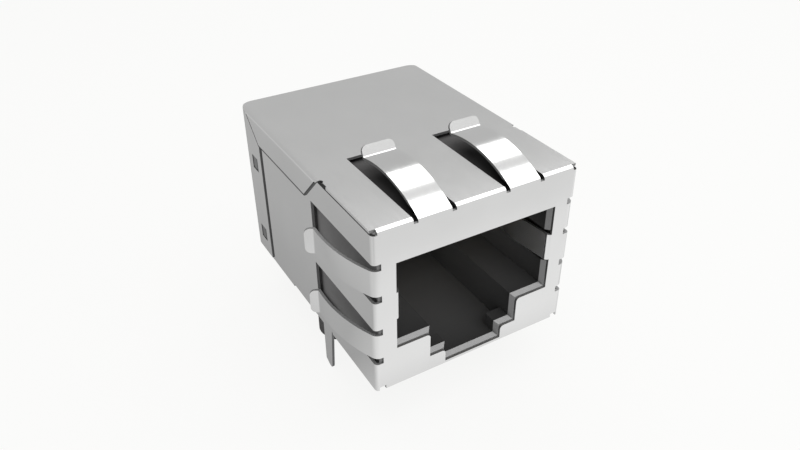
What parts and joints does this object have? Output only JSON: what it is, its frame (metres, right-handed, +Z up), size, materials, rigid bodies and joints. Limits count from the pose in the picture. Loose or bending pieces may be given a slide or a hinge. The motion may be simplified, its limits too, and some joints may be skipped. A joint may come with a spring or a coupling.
{
  "type": "shielded modular jack",
  "caption": "Right-angle board-mount network jack: folded metal shield with spring fingers, black plug cavity, locating pegs, shield legs and signal pins.",
  "frame": {"origin": "on the face of the board the jack is soldered to, midway between its two locating pegs", "axes": "+Z up from the board, -Y towards the plug mouth, X across the mouth"},
  "size_m": [0.0192, 0.0216, 0.0187],
  "materials": {
    "shield_nickel": "smooth satin nickel plate",
    "housing_plastic": "black moulded, slightly glossy",
    "insert_plastic": "black moulded, dull",
    "contact_gold": "gold-plated phosphor bronze",
    "pin_tin": "tin-plated",
    "board_laminate": "green solder mask over glass-fibre laminate",
    "ferrite": "sintered ferrite, fine grain",
    "magnet_wire": "enamelled copper",
    "resistor_ceramic": "black glaze with tinned ends",
    "capacitor_ceramic": "tan ceramic with tinned ends"
  },
  "bodies": {
    "root": {"shield": "shield_nickel", "housing": "housing_plastic", "contact_insert": "insert_plastic", "contact_1": "contact_gold", "contact_2": "contact_gold", "contact_3": "contact_gold", "contact_4": "contact_gold", "contact_5": "contact_gold", "contact_6": "contact_gold", "contact_7": "contact_gold", "contact_8": "contact_gold", "circuit_board": "board_laminate", "pin_carrier": "insert_plastic", "board_pin_1": "pin_tin", "board_pin_2": "pin_tin", "board_pin_3": "pin_tin", "board_pin_4": "pin_tin", "board_pin_5": "pin_tin", "board_pin_6": "pin_tin", "board_pin_7": "pin_tin", "board_pin_8": "pin_tin", "transmit_transformer_core": "ferrite", "receive_transformer_core": "ferrite", "transmit_choke_core": "ferrite", "receive_choke_core": "ferrite", "transmit_transformer_winding": "magnet_wire", "receive_transformer_winding": "magnet_wire", "transmit_choke_winding": "magnet_wire", "receive_choke_winding": "magnet_wire", "termination_resistor_1": "resistor_ceramic", "termination_resistor_2": "resistor_ceramic", "termination_resistor_3": "resistor_ceramic", "termination_resistor_4": "resistor_ceramic", "isolation_capacitor": "capacitor_ceramic"}
  },
  "joints": []
}
